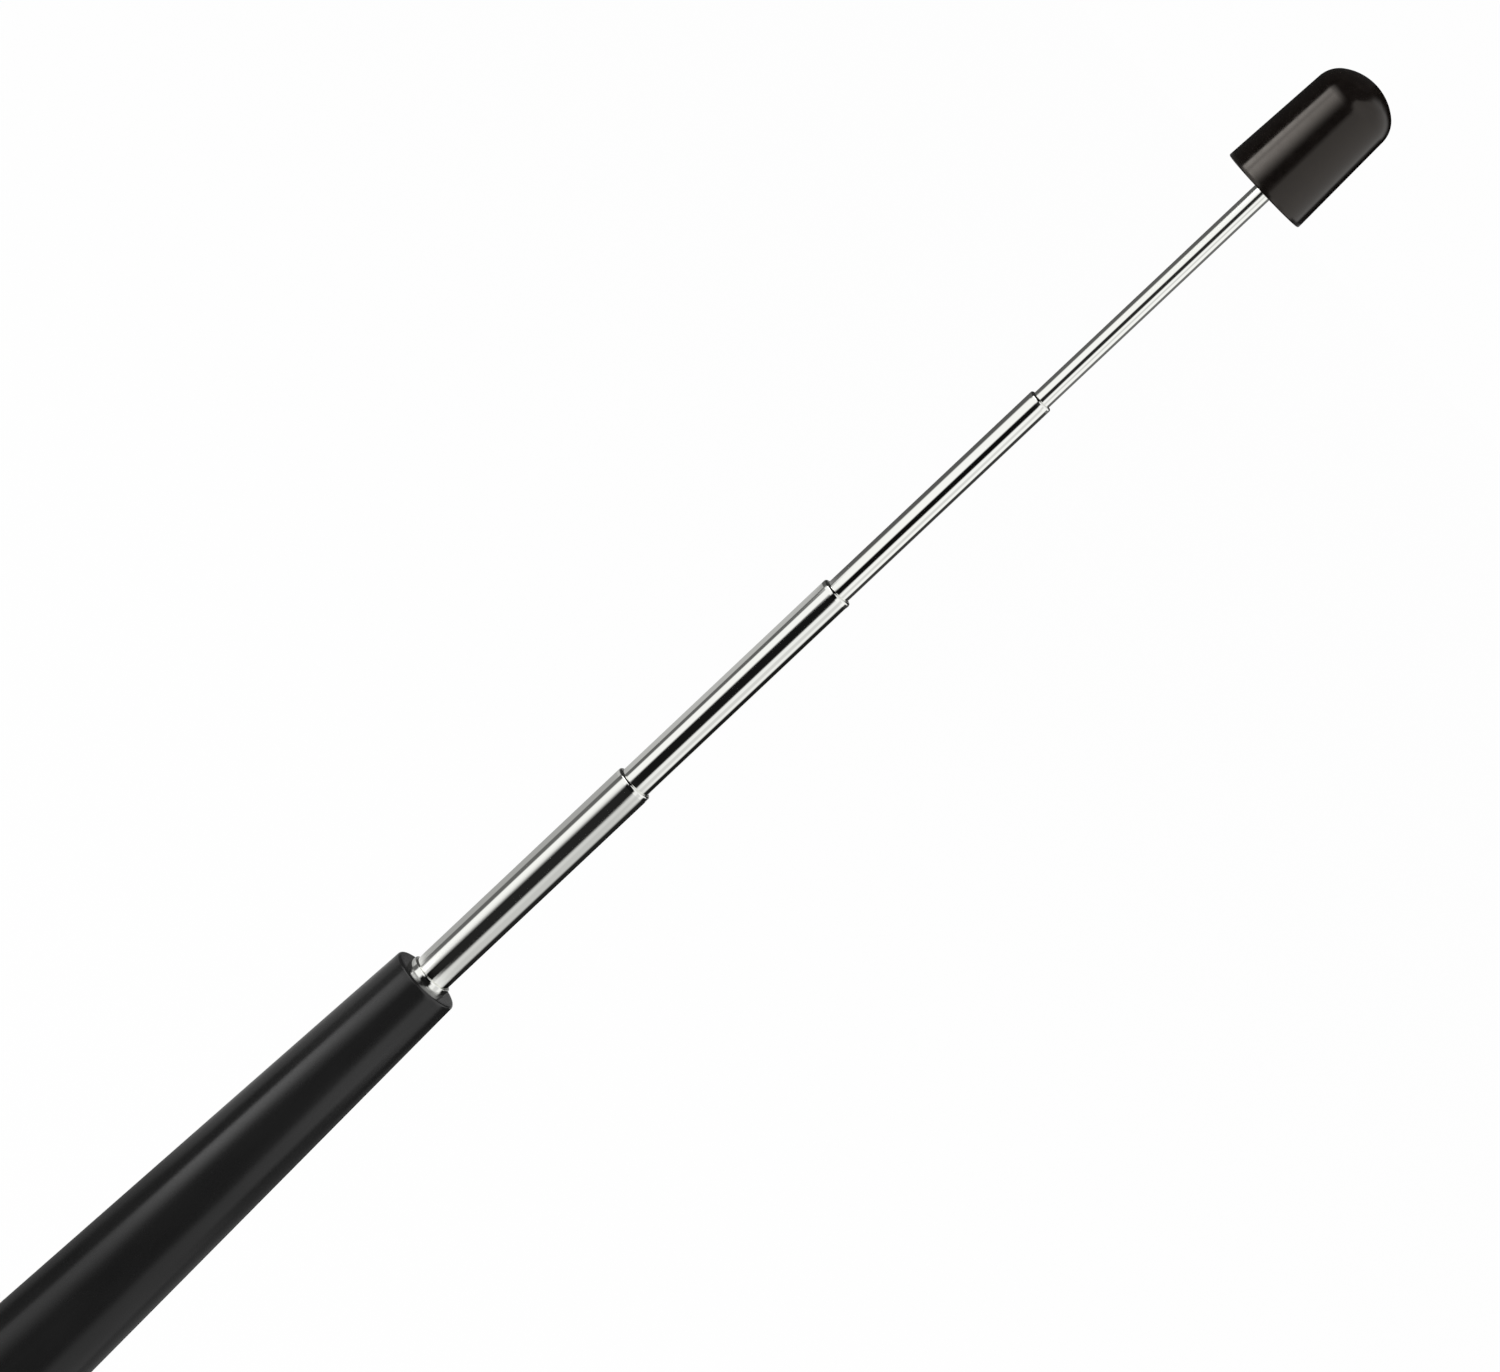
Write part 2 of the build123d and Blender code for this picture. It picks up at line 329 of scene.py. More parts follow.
def boolean(bm, tool, operation):
    """Joins another bmesh to this one, or cuts it away, and returns the result."""
    body, other = loose_mesh(bm, "boolean body"), loose_mesh(tool, "boolean tool")
    modifier = body.modifiers.new(operation, "BOOLEAN")
    modifier.operation = operation
    modifier.solver = "EXACT"
    modifier.object = other
    made = body.evaluated_get(bpy.context.evaluated_depsgraph_get()).to_mesh()
    result = bmesh.new()
    result.from_mesh(made)
    for helper in (body, other):
        mesh = helper.data
        bpy.data.objects.remove(helper)
        bpy.data.meshes.remove(mesh)
    return result


def box(size, centre):
    """A block of the given size round a centre."""
    bm = bmesh.new()
    bmesh.ops.create_cube(bm, size=1.0)
    bmesh.ops.scale(bm, vec=size, verts=bm.verts[:])
    bmesh.ops.translate(bm, vec=centre, verts=bm.verts[:])
    return bm


def rod(radius, bottom, top):
    """A plain round rod on the mast's axis."""
    bm = bmesh.new()
    wire(bm, [(0, bottom), (radius, bottom), (radius, top), (0, top)])
    spin_all(bm)
    return bm


# %% [markdown]
# ## The sleeve
# The sleeve is one moulding: a long taper with a flat mouth, hollow below the collar that grips
# the fixed tube, with four webs that centre the tube in the hollow. We spin the outside and the
# hollow in one outline. The webs are two crossed plates, joined to it and then bored through,
# which is what the moulding tool does too. A ring of points at RIM_GUARD from each rim keeps the
# smooth shading of its rounding from creeping along the sleeve.

# %% The sleeve
SLEEVE_WALL = 1.8 * MM
SLEEVE_BASE_RADIUS = 9.0 * MM
SLEEVE_MOUTH_RADIUS = 5.5 * MM
SLEEVE_RIM_ROUNDING = 0.4 * MM
COLLAR_DEPTH = 22 * MM
WEB_THICKNESS = 1.2 * MM
PLUG_RIM_WALL = 1.2 * MM
PLUG_THICKNESS = 3.0 * MM
SEAT_CLEARANCE = 0.02 * MM
RIM_GUARD = 1.0 * MM

sleeve_top = heights_of("sleeve")[1]
tube_seat = radius_of("outer_tube") + SEAT_CLEARANCE
plug_seat = SLEEVE_BASE_RADIUS - PLUG_RIM_WALL
collar_bottom = sleeve_top - COLLAR_DEPTH
boss_top = heights_of("base_plug")[1]


def sleeve_radius(height):
    """Outside radius of the taper at a height."""
    share = height / sleeve_top
    return SLEEVE_BASE_RADIUS + (SLEEVE_MOUTH_RADIUS - SLEEVE_BASE_RADIUS) * share


def make_sleeve():
    shell = spun(
        [
            (SLEEVE_BASE_RADIUS, 0),
            (sleeve_radius(RIM_GUARD), RIM_GUARD),
            (sleeve_radius(sleeve_top - RIM_GUARD), sleeve_top - RIM_GUARD),
            (SLEEVE_MOUTH_RADIUS, sleeve_top),
            (SLEEVE_MOUTH_RADIUS - RIM_GUARD, sleeve_top),
            (0, sleeve_top),
            (0, collar_bottom),
            (sleeve_radius(collar_bottom) - SLEEVE_WALL, collar_bottom),
            (sleeve_radius(PLUG_THICKNESS) - SLEEVE_WALL, PLUG_THICKNESS),
            (plug_seat, PLUG_THICKNESS),
            (plug_seat, 0),
        ],
        rims=[
            (SLEEVE_BASE_RADIUS, 0, SLEEVE_RIM_ROUNDING),
            (SLEEVE_MOUTH_RADIUS, sleeve_top, SLEEVE_RIM_ROUNDING),
        ],
    )
    web_bottom = boss_top + SEAT_CLEARANCE
    web_top = collar_bottom + RIM_GUARD
    reach = 2 * sleeve_radius(web_top) - SLEEVE_WALL
    size = Vector((reach, WEB_THICKNESS, web_top - web_bottom))
    centre = (0, 0, (web_top + web_bottom) / 2)
    for plate in (box(size, centre), box(size.yxz, centre)):
        shell = boolean(shell, plate, "UNION")
    return boolean(shell, rod(tube_seat, -RIM_GUARD, sleeve_top + RIM_GUARD), "DIFFERENCE")


finish_piece(
    make_sleeve(), "black_sleeve", sleeve_plastic, "sleeve_body", ["sleeve"]
)

# %% [markdown]
# ## The end of the sleeve
# A disc with a boss closes the wide end, so the hollow sleeve looks solid from below. The boss
# takes the lower end of the fixed tube, and a recess takes the flange of the brass insert. It is
# all round, so one outline gives the whole plug.

# %% End plug
INSERT_FLANGE_RADIUS = 4.2 * MM
INSERT_FLANGE_THICKNESS = 1.4 * MM
PLUG_BOSS_RADIUS = 5.0 * MM
SOFT_EDGE = 0.15 * MM


def make_end_plug():
    rim = plug_seat - SEAT_CLEARANCE
    flange_seat = INSERT_FLANGE_RADIUS + SEAT_CLEARANCE
    return spun(
        [
            (flange_seat, 0),
            (rim, 0),
            (rim, PLUG_THICKNESS),
            (PLUG_BOSS_RADIUS, PLUG_THICKNESS),
            (PLUG_BOSS_RADIUS, boss_top),
            (tube_seat, boss_top),
            (tube_seat, INSERT_FLANGE_THICKNESS),
            (flange_seat, INSERT_FLANGE_THICKNESS),
        ],
        rims=[(rim, 0, SOFT_EDGE), (PLUG_BOSS_RADIUS, boss_top, SOFT_EDGE)],
    )


finish_piece(
    make_end_plug(), "end_plug", sleeve_plastic, "sleeve_body", ["base_plug"]
)

# %% [markdown]
# The brass insert is the screw hole that holds the mast to its base. Its thread is a real one,
# because the hole is open to view: a V-shaped cutter is spun and moved along at the same time,
# which gives a helix, and is then cut out of the blind hole. A groove round the shank takes the
# crimp of the fixed tube. One helper gives the outline of the groove here, and of the tube's dents
# later, so that they fit.

# %% Threaded insert
THREAD_CORE_RADIUS = 1.65 * MM
THREAD_OUTER_RADIUS = 2.0 * MM
THREAD_PITCH = 0.7 * MM
THREAD_DEPTH = 10 * MM
THREAD_LEAD_IN = 0.4 * MM
THREAD_STEPS = 32
THREAD_MOUTH = 0.8 * THREAD_PITCH
THREAD_CREST = 0.2 * THREAD_PITCH
CUTTER_OVERLAP = 0.1 * MM
CRIMP_WIDTH = 1.6 * MM
CRIMP_DEPTH = 0.35 * MM
FOOT_CLEARANCE = 0.05 * MM

fixed_tube_bore = radius_of("foot_bush_1") + FOOT_CLEARANCE


def crimp_outline(surface, height, room=0.0):
    """The four points of a crimp below a round surface, from low to high."""
    half_mouth, half_floor = CRIMP_WIDTH / 2 + room, CRIMP_WIDTH / 4 + room
    deep = surface - CRIMP_DEPTH - room
    return [
        (surface, height - half_mouth),
        (deep, height - half_floor),
        (deep, height + half_floor),
        (surface, height + half_mouth),
    ]


def thread_cutter():
    """A V-shaped ridge wound round the hole's wall, from outside the hole to near its end."""
    bm = bmesh.new()
    inner = THREAD_CORE_RADIUS - CUTTER_OVERLAP
    wire(
        bm,
        [
            (inner, -THREAD_MOUTH / 2),
            (THREAD_OUTER_RADIUS, -THREAD_CREST / 2),
            (THREAD_OUTER_RADIUS, THREAD_CREST / 2),
            (inner, THREAD_MOUTH / 2),
        ],
    )
    end = bm.faces.new(bm.verts[:])
    turns = round(THREAD_DEPTH / THREAD_PITCH) - 1
    bmesh.ops.spin(
        bm, geom=[end, *end.edges, *end.verts], cent=(0, 0, 0), axis=(0, 0, 1),
        dvec=(0, 0, THREAD_PITCH / THREAD_STEPS), angle=math.tau * turns,
        steps=THREAD_STEPS * turns, use_merge=False, use_normal_flip=False, use_duplicate=True,
    )
    bmesh.ops.remove_doubles(bm, verts=bm.verts[:], dist=MERGE_DISTANCE)
    bmesh.ops.recalc_face_normals(bm, faces=bm.faces[:])
    return bm


def make_insert():
    shank_top = heights_of("base_insert")[1]
    shank = fixed_tube_bore - SEAT_CLEARANCE
    crimp_height = (INSERT_FLANGE_THICKNESS + shank_top) / 2
    body = spun(
        [
            (THREAD_CORE_RADIUS + THREAD_LEAD_IN, 0),
            (INSERT_FLANGE_RADIUS, 0),
            (INSERT_FLANGE_RADIUS, INSERT_FLANGE_THICKNESS),
            (shank, INSERT_FLANGE_THICKNESS),
            *crimp_outline(shank, crimp_height, SEAT_CLEARANCE),
            (shank, shank_top),
            (0, shank_top),
            (0, THREAD_DEPTH),
            (THREAD_CORE_RADIUS, THREAD_DEPTH),
            (THREAD_CORE_RADIUS, THREAD_LEAD_IN),
        ],
        rims=[(INSERT_FLANGE_RADIUS, 0, SOFT_EDGE)],
    )
    return boolean(body, thread_cutter(), "DIFFERENCE")


finish_piece(make_insert(), "threaded_insert", brass, "sleeve_body", ["base_insert"])

# %% [markdown]
# ## The tubes
# Each tube is drawn thin, and its upper end is rolled inwards until it just clears the tube that
# slides in it: that lip centres the next tube and is its stop. All of it is one outline. The lip
# has to look rolled, so its corner is rounded, and a second ring of points close to the corner
# keeps the smooth shading of the rounding from creeping down the tube and bending the
# reflections. Near the foot, two windows let the tabs of the spring shoes through.

# %% Helper: the outline of a tube
LIP_HEIGHT = 0.8 * MM
LIP_CLEARANCE = 0.05 * MM
LIP_ROUNDING = 0.34 * MM
LIP_INNER_ROUNDING = 0.05 * MM
TAB_RISE = 0.87 * MM
TAB_WINDOW = (0.96 * MM, 1.26 * MM)
WINDOW_CUTTER_LENGTH = 3  # in radii of the tube, so that it passes both walls


def lipped_tube(
    node, next_tube, next_foot, shoulder=LIP_HEIGHT, narrowing=0.0, rounding=LIP_ROUNDING
):
    """Outline and rims of a tube whose lip closes in on the next tube.

    The foot bush of the next tube gives the bore. From the shoulder to the top, the outside may
    narrow a little.
    """
    bottom, top = heights_of(node)
    outside = radius_of(node)
    rim = outside - narrowing
    bore = radius_of(next_foot) + FOOT_CLEARANCE
    hole = radius_of(next_tube) + LIP_CLEARANCE
    outline = [
        (bore, bottom),
        (outside, bottom),
        (outside, top - shoulder),
        (rim, top),
        (hole, top),
        (hole, top - LIP_HEIGHT),
        (bore, top - LIP_HEIGHT),
    ]
    return outline, [(rim, top, rounding), (hole, top, LIP_INNER_ROUNDING)]


def cut_tab_windows(bm, node):
    """Cuts the two holes for the tabs of the shoes, across the tube's foot."""
    bottom = heights_of(node)[0]
    width, height = TAB_WINDOW
    size = Vector((WINDOW_CUTTER_LENGTH * radius_of(node), width, height))
    centre = (0, 0, bottom + TAB_RISE + height / 2)
    return boolean(bm, box(size, centre), "DIFFERENCE")


# %% [markdown]
# The fixed tube never moves. It is crimped into a groove of the insert at its lower end, and
# higher up into one of the stop plug, where the first sliding tube lands. Both crimps are dents of
# the outline, on the outside and in the bore. Only its lip stands out of the sleeve: it is a
# little taller than the others, has a crisper edge and narrows slightly towards its top.

# %% Fixed tube
FIXED_LIP_SHOULDER = 1.1 * MM
FIXED_LIP_NARROWING = 0.12 * MM
FIXED_LIP_ROUNDING = 0.1 * MM


def make_fixed_tube():
    """The outermost tube, crimped into the insert below and into the stop plug above."""
    outline, rims = lipped_tube(
        "outer_tube", "tube_1", "foot_bush_1",
        FIXED_LIP_SHOULDER, FIXED_LIP_NARROWING, FIXED_LIP_ROUNDING,
    )
    stop_bottom, stop_top = heights_of("stop_plug")
    insert_crimp = (INSERT_FLANGE_THICKNESS + heights_of("base_insert")[1]) / 2
    stop_crimp = (stop_bottom + stop_top) / 2
    outer_side, inner_side = [
        crimp_outline(surface, insert_crimp) + crimp_outline(surface, stop_crimp)
        for surface in (radius_of("outer_tube"), fixed_tube_bore)
    ]
    return spun(outline[:2] + outer_side + outline[2:] + inner_side[::-1], rims)


finish_piece(make_fixed_tube(), "fixed_tube", chrome, "sleeve_body", ["outer_tube"])

# %% [markdown]
# The next three tubes differ only in their measures, so a loop makes them: outline, spin, windows,
# finish. Each of them rides on the section of its own number, and slides with it.

# %% The three lipped tubes
for number in (1, 2, 3):
    node = f"tube_{number}"
    outline, rims = lipped_tube(node, f"tube_{number + 1}", f"foot_bush_{number + 1}")
    piece = cut_tab_windows(spun(outline, rims), node)
    finish_piece(piece, f"chrome_tube_{number}", chrome, f"section_{number}", [node])

# %% [markdown]
# The last tube holds no other, so it has no lip: it is a plain tube with the same windows at its
# foot. Its upper end is out of sight in the cap, so its edges need no rounding.

# %% The last tube
LAST_TUBE_WALL = 0.3 * MM

last_radius = radius_of("tube_4")
last_bottom, last_top = heights_of("tube_4")
last_bore = last_radius - LAST_TUBE_WALL
last_outline = [
    (last_bore, last_bottom),
    (last_radius, last_bottom),
    (last_radius, last_top),
    (last_bore, last_top),
]
last_tube = cut_tab_windows(spun(last_outline), "tube_4")
finish_piece(last_tube, "chrome_tube_4", chrome, "section_4", ["tube_4"])

# %% [markdown]
# ## The cap
# The cap is a bullet: a skirt that narrows slightly, then an oval dome. The dome is two arcs that
# run into each other without a corner: a tight one at the shoulder and a flat one at the crown. A
# stretched half sphere would come close, but a mould is turned with arcs, and so is the measured
# model. We get an arc by spinning one vertex about the arc's own centre.

# %% Helper: an arc from one vertex
ARC_STEPS = 14


def sweep_vertex(bm, vert, centre, angle):
    """Moves a vertex round a centre in the plane y = 0, leaving an arc behind it."""
    made = bmesh.ops.spin(
        bm, geom=[vert], cent=(centre[0], 0, centre[1]), axis=(0, -1, 0), dvec=(0, 0, 0),
        angle=angle, steps=ARC_STEPS, use_merge=False, use_normal_flip=False, use_duplicate=False,
    )
    return next(item for item in made["geom_last"] if isinstance(item, bmesh.types.BMVert))


# %% [markdown]
# Under the cap there is a shallow recess, and in it the socket of the brass ferrule that holds the
# tube. The socket has a rib that fills the ferrule's groove, because the cap is moulded round it.
# The outline runs down the socket and up the outside, and the two arcs close it at the top.

# %% The cap
CAP_BASE_RADIUS = 6.925 * MM
CAP_SHOULDER_RADIUS = 6.33 * MM
CAP_DOME_HEIGHT = 4.9 * MM
CAP_BASE_ROUNDING = 0.25 * MM
CAP_RIM_GUARD = 0.8 * MM
CAP_SKIRT_DEPTH = 1.2 * MM
CAP_MOUTH_CLEARANCE = 0.3 * MM
FERRULE_GROOVE_DEPTH = 0.4 * MM
FERRULE_GROOVE_WIDTH = 1.0 * MM


def cap_socket_outline(base):
    """From the top of the socket down to the cap's underside."""
    ferrule_bottom, ferrule_top = heights_of("tip_ferrule")
    socket = radius_of("tip_ferrule") + SEAT_CLEARANCE
    waist = socket - FERRULE_GROOVE_DEPTH
    middle = (ferrule_bottom + ferrule_top) / 2
    half = FERRULE_GROOVE_WIDTH / 2 - SEAT_CLEARANCE
    mouth = radius_of("tube_4") + CAP_MOUTH_CLEARANCE
    return [
        (0, ferrule_top + SEAT_CLEARANCE),
        (socket, ferrule_top + SEAT_CLEARANCE),
        (socket, middle + half),
        (waist, middle + half),
        (waist, middle - half),
        (socket, middle - half),
        (socket, base + CAP_SKIRT_DEPTH),
        (mouth, base + CAP_SKIRT_DEPTH),
        (mouth, base),
    ]


def make_cap():
    base, apex = heights_of("tip_cap")
    narrowing = (CAP_BASE_RADIUS - CAP_SHOULDER_RADIUS) / (apex - CAP_DOME_HEIGHT - base)
    bm = bmesh.new()
    verts = wire(
        bm,
        [
            (0, apex),
            *cap_socket_outline(base),
            (CAP_BASE_RADIUS - CAP_RIM_GUARD, base),
            (CAP_BASE_RADIUS, base),
            (CAP_BASE_RADIUS - CAP_RIM_GUARD * narrowing, base + CAP_RIM_GUARD),
            (CAP_SHOULDER_RADIUS, apex - CAP_DOME_HEIGHT),
        ],
        closed=False,
    )
    span = math.hypot(CAP_SHOULDER_RADIUS, CAP_DOME_HEIGHT)
    excess = CAP_SHOULDER_RADIUS - CAP_DOME_HEIGHT
    corner = span * (span - excess) / (2 * CAP_SHOULDER_RADIUS)
    crown = span * (span + excess) / (2 * CAP_DOME_HEIGHT)
    lean = math.atan2(CAP_SHOULDER_RADIUS - corner, crown - CAP_DOME_HEIGHT)
    corner_centre = (CAP_SHOULDER_RADIUS - corner, apex - CAP_DOME_HEIGHT)
    meeting = sweep_vertex(bm, verts[-1], corner_centre, math.pi / 2 - lean)
    sweep_vertex(bm, meeting, (0, apex - crown), lean)
    bmesh.ops.remove_doubles(bm, verts=bm.verts[:], dist=MERGE_DISTANCE)
    spin_all(bm)
    round_rim(bm, CAP_BASE_RADIUS, base, CAP_BASE_ROUNDING)
    print("cap arcs: corner", round(corner / MM, 2), "mm, crown", round(crown / MM, 2), "mm")
    return bm


finish_piece(make_cap(), "tip_cap_shell", cap_plastic, "section_4", ["tip_cap"])

# %% [markdown]
# ## Pieces that stay as measured
# The bushes, shoes, stop plug and ferrule are inside and already have their true form. They keep
# their measured meshes and only get a finish.

# %% Finishes for the inner pieces
INNER_FINISHES = {"stop_plug": brass, "tip_ferrule": brass}
for number in (1, 2, 3, 4):
    INNER_FINISHES[f"foot_bush_{number}"] = brass
    INNER_FINISHES[f"shoe_{number}_right"] = bronze
    INNER_FINISHES[f"shoe_{number}_left"] = bronze
for node, material in INNER_FINISHES.items():
    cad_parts[node].material_slots[0].material = material
print("inner pieces:", len(INNER_FINISHES))

# %% [markdown]
# ## Floor and light
# The photograph has a bare white background. More light would bleach the mast with the paper, so
# the floor is a mix: to light it is plain paper, which takes the mast's shadow, and to the camera,
# to mirrors and to glass it is nearly all page white. Light Path tells the two apart.

# %% Helper: what is seen and what is light
def seen_directly(nodes, links):
    """1 for what the camera sees directly or in a reflection or refraction, and 0 for light."""
    path = nodes.new("ShaderNodeLightPath")
    either = nodes.new("ShaderNodeMath")
    either.operation = "MAXIMUM"
    links.new(path.outputs["Is Camera Ray"], either.inputs[0])
    links.new(path.outputs["Is Glossy Ray"], either.inputs[1])
    every = nodes.new("ShaderNodeMath")
    every.operation = "MAXIMUM"
    links.new(either.outputs["Value"], every.inputs[0])
    links.new(path.outputs["Is Transmission Ray"], every.inputs[1])
    return every.outputs["Value"]


# %% The floor
PAGE_WHITE = 1.0
FLOOR_LIFT = 0.97
FLOOR_SIZE = 12.0
FLOOR_DROP = 0.2 * MM

floor_mesh = bpy.data.meshes.new("floor")
bm = bmesh.new()
bmesh.ops.create_grid(bm, x_segments=1, y_segments=1, size=FLOOR_SIZE / 2)
bmesh.ops.translate(bm, vec=(0, 0, -FLOOR_DROP), verts=bm.verts[:])
bm.to_mesh(floor_mesh)
bm.free()
floor = bpy.data.objects.new("floor", floor_mesh)
bpy.context.scene.collection.objects.link(floor)

paper, paper_shader = new_material("white paper", (0.9, 0.9, 0.9), 0.0, 0.9)
paper_tree = paper.node_tree
lift = paper_tree.nodes.new("ShaderNodeEmission")
lift.inputs["Strength"].default_value = PAGE_WHITE
share = paper_tree.nodes.new("ShaderNodeMath")
share.operation = "MULTIPLY"
share.inputs[1].default_value = FLOOR_LIFT
mix = paper_tree.nodes.new("ShaderNodeMixShader")
paper_tree.links.new(seen_directly(paper_tree.nodes, paper_tree.links), share.inputs[0])
paper_tree.links.new(share.outputs["Value"], mix.inputs["Fac"])
paper_tree.links.new(paper_shader.outputs["BSDF"], mix.inputs[1])
paper_tree.links.new(lift.outputs["Emission"], mix.inputs[2])
paper_tree.links.new(mix.outputs["Shader"], paper_tree.nodes["Material Output"].inputs["Surface"])
floor_mesh.materials.append(paper)
print("floor", FLOOR_SIZE, "m wide, share of page white in it", FLOOR_LIFT)

# %% [markdown]
# Above the floor the world is seen. It lights the mast evenly, and it has to be as white as the
# floor, or the floor's far edge would show as a line. PAPER_LEVEL is how bright the paper itself
# comes out under this light, so the world's white is the same mix as the floor's. One broad lamp
# overhead gives the shadow.

# %% World and lamp
SKY_LEVEL = 0.55
PAPER_LEVEL = 0.65
SEEN_WHITE = PAGE_WHITE * FLOOR_LIFT + PAPER_LEVEL * (1 - FLOOR_LIFT)
LAMP_SIZE = 0.8
LAMP_PLACE = Vector((-0.3, -0.3, 1.3))
LAMP_POWER = 9.0

world = bpy.data.worlds.new("studio")
world.use_nodes = True
bpy.context.scene.world = world
world_nodes, world_links = world.node_tree.nodes, world.node_tree.links
sky = world_nodes["Background"]
sky.inputs["Color"].default_value = (1, 1, 1, 1)
level = world_nodes.new("ShaderNodeMapRange")
level.inputs["To Min"].default_value = SKY_LEVEL
level.inputs["To Max"].default_value = SEEN_WHITE
world_links.new(seen_directly(world_nodes, world_links), level.inputs["Value"])
world_links.new(level.outputs["Result"], sky.inputs["Strength"])

lamp = bpy.data.objects.new("overhead lamp", bpy.data.lights.new("overhead lamp", "AREA"))
lamp.data.size = LAMP_SIZE
lamp.data.energy = LAMP_POWER
lamp.location = LAMP_PLACE
lamp.rotation_euler = (-LAMP_PLACE).to_track_quat("-Z", "Y").to_euler()
lamp.visible_glossy = False
bpy.context.scene.collection.objects.link(lamp)
print("world seen as", round(SEEN_WHITE, 3), "and lamp", LAMP_PLACE.z, "m up")

# %% [markdown]
# ## The boards round the mast
# Chrome is a mirror, so its stripes are a picture of the studio: white paper, black and grey
# boards, and light boxes. On a round tube, whatever stands in a direction shows at half that
# angle from the middle of the tube. We set one curved screen round the mast and tone it by
# direction and height, as boards clipped to a light tent would do. It is seen in reflections
# only. Directions are degrees from the camera, positive to its right.

# %% Size of the screen
TENT_RADIUS = 400 * MM
TENT_HEIGHT = 600 * MM
TENT_FOOT = 14 * MM
TENT_CLEARANCE = 0.3 * MM
print("screen", 2 * TENT_RADIUS, "m wide and", TENT_HEIGHT, "m high")

# %% [markdown]
# A board is five numbers: the direction where it starts and the one where it ends, its tone, and
# how soft these two edges are, in degrees. A tone of 1 is white paper, and a light box is
# brighter. A later board covers an earlier one. The satin sleeve mirrors the floor, its lower end
# the part close to the mast. Black cloth lies there, and light from both sides falls on it.

# %% Boards on the floor, for the sleeve
WHITE_PAPER = 1.0
BLACK_CLOTH = (-180, 180, 0.0, 0, 0)
LOW_FLOOR_BOARDS = [
    BLACK_CLOTH, (-180, -112, 0.16, 0, 20), (-72, -40, 0.66, 8, 42), (46, 108, 0.42, 20, 20),
    (108, 160, 0.2, 20, 20),
]
MIDDLE_FLOOR_BOARDS = [
    BLACK_CLOTH, (-180, -102, 0.38, 0, 16), (-71, -44, 2.15, 5, 36), (48, 84, 0.46, 16, 14),
    (100, 160, 0.12, 20, 20),
]
HIGH_FLOOR_BOARDS = [
    BLACK_CLOTH, (-180, -102, 0.38, 0, 16), (-71, -46, 2.5, 5, 30), (42, 86, 0.86, 14, 14),
    (130, 180, 0.1, 10, 0),
]

# %% [markdown]
# The chromed tubes mirror the wall, which is white paper with a dark board in front, below the
# camera, and more of them to the sides and behind: they give each tube its black lines. A higher
# tube mirrors a higher part of the wall, so each one has boards of its own.

# %% Boards on the wall, for the lip of the fixed tube and the four others
MOUTH_BOARDS = [
    (-180, -86, 0.9, 0, 6), (-82, -62, 0.45, 6, 8), (-62, -38, 1.9, 8, 16), (-21, 23, 0.0, 6, 8),
    (108, 180, 0.0, 8, 0),
]
FIRST_TUBE_BOARDS = [
    (-180, -84, 0.40, 0, 6), (-44, 0, 0.82, 18, 4), (20, 180, 0.58, 4, 0), (20, 60, 0.66, 4, 12),
    (-98, -70, 0.13, 8, 10), (-28, 37.5, 0.018, 24, 17), (101.5, 180, 0.015, 20, 0),
]
SECOND_TUBE_BOARDS = [
    (-180, -84, 0.50, 0, 6), (20, 180, 0.92, 4, 0), (54, 76, 0.70, 10, 10),
    (-96, -69, 0.12, 6, 10), (-28, 31, 0.008, 14, 12), (98, 152, 0.01, 14, 4),
]
THIRD_TUBE_BOARDS = [
    (-180, -86, 0.1, 0, 18), (-18.5, 25, 0.004, 13, 12), (52, 74, 0.74, 10, 10),
    (101, 180, 0.04, 10, 0), (-180, -150, 0.15, 0, 6), (152, 180, 0.32, 4, 0),
]
FOURTH_TUBE_BOARDS = [
    (-180, -79, 0.11, 0, 18), (-15.5, 22, 0.02, 12, 12), (46, 64, 0.72, 8, 8),
    (100, 180, 0.15, 12, 0), (-180, -150, 0.15, 0, 6), (152, 180, 0.32, 4, 0),
]

# %% [markdown]
# The cap is black, so it shows only what is bright: a narrow light box on the left makes its
# streak, which fades towards the dome, and a broad one on the right a soft sheen. Behind the mast,
# a grey cloth hangs on the left.

# %% Boards high on the wall, for the cap
GREY_CLOTH = (-180, -100, 0.03, 0, 10)
CAP_BOARDS = [
    BLACK_CLOTH, GREY_CLOTH, (-80, -36, 4.5, 5, 44), (-79, -70, 5.3, 5, 5),
    (-67, -59, 3.2, 4, 5), (13, 128, 1.0, 8, 12), (13, 46, 0.78, 8, 50),
]
CAP_TOP_BOARDS = [
    BLACK_CLOTH, GREY_CLOTH, (-80, -38, 1.9, 5, 46), (-79, -70, 1.5, 5, 5),
    (7, 134, 0.97, 8, 24), (7, 46, 0.8, 8, 50),
]

# %% [markdown]
# Where one set of boards gives way to the next is a distance from the mast: out along the floor,
# then up the wall, then in again under the roof. The floor ends at TENT_RADIUS, so what is added
# to it is a height on the wall. The second number is how soft the change is.

# %% From one set of boards to the next
TIERS = [
    (0, 0, LOW_FLOOR_BOARDS),
    (190 * MM, 60 * MM, MIDDLE_FLOOR_BOARDS),
    (300 * MM, 50 * MM, HIGH_FLOOR_BOARDS),
    (366 * MM, 4 * MM, MOUTH_BOARDS),
    (384 * MM, 3 * MM, FIRST_TUBE_BOARDS),
    (TENT_RADIUS + 57.8 * MM, 4 * MM, SECOND_TUBE_BOARDS),
    (TENT_RADIUS + 119.8 * MM, 4 * MM, THIRD_TUBE_BOARDS),
    (TENT_RADIUS + 180.9 * MM, 4 * MM, FOURTH_TUBE_BOARDS),
    (TENT_RADIUS + 248.0 * MM, 4 * MM, CAP_BOARDS),
    (TENT_RADIUS + 292.0 * MM, 66 * MM, CAP_TOP_BOARDS),
]

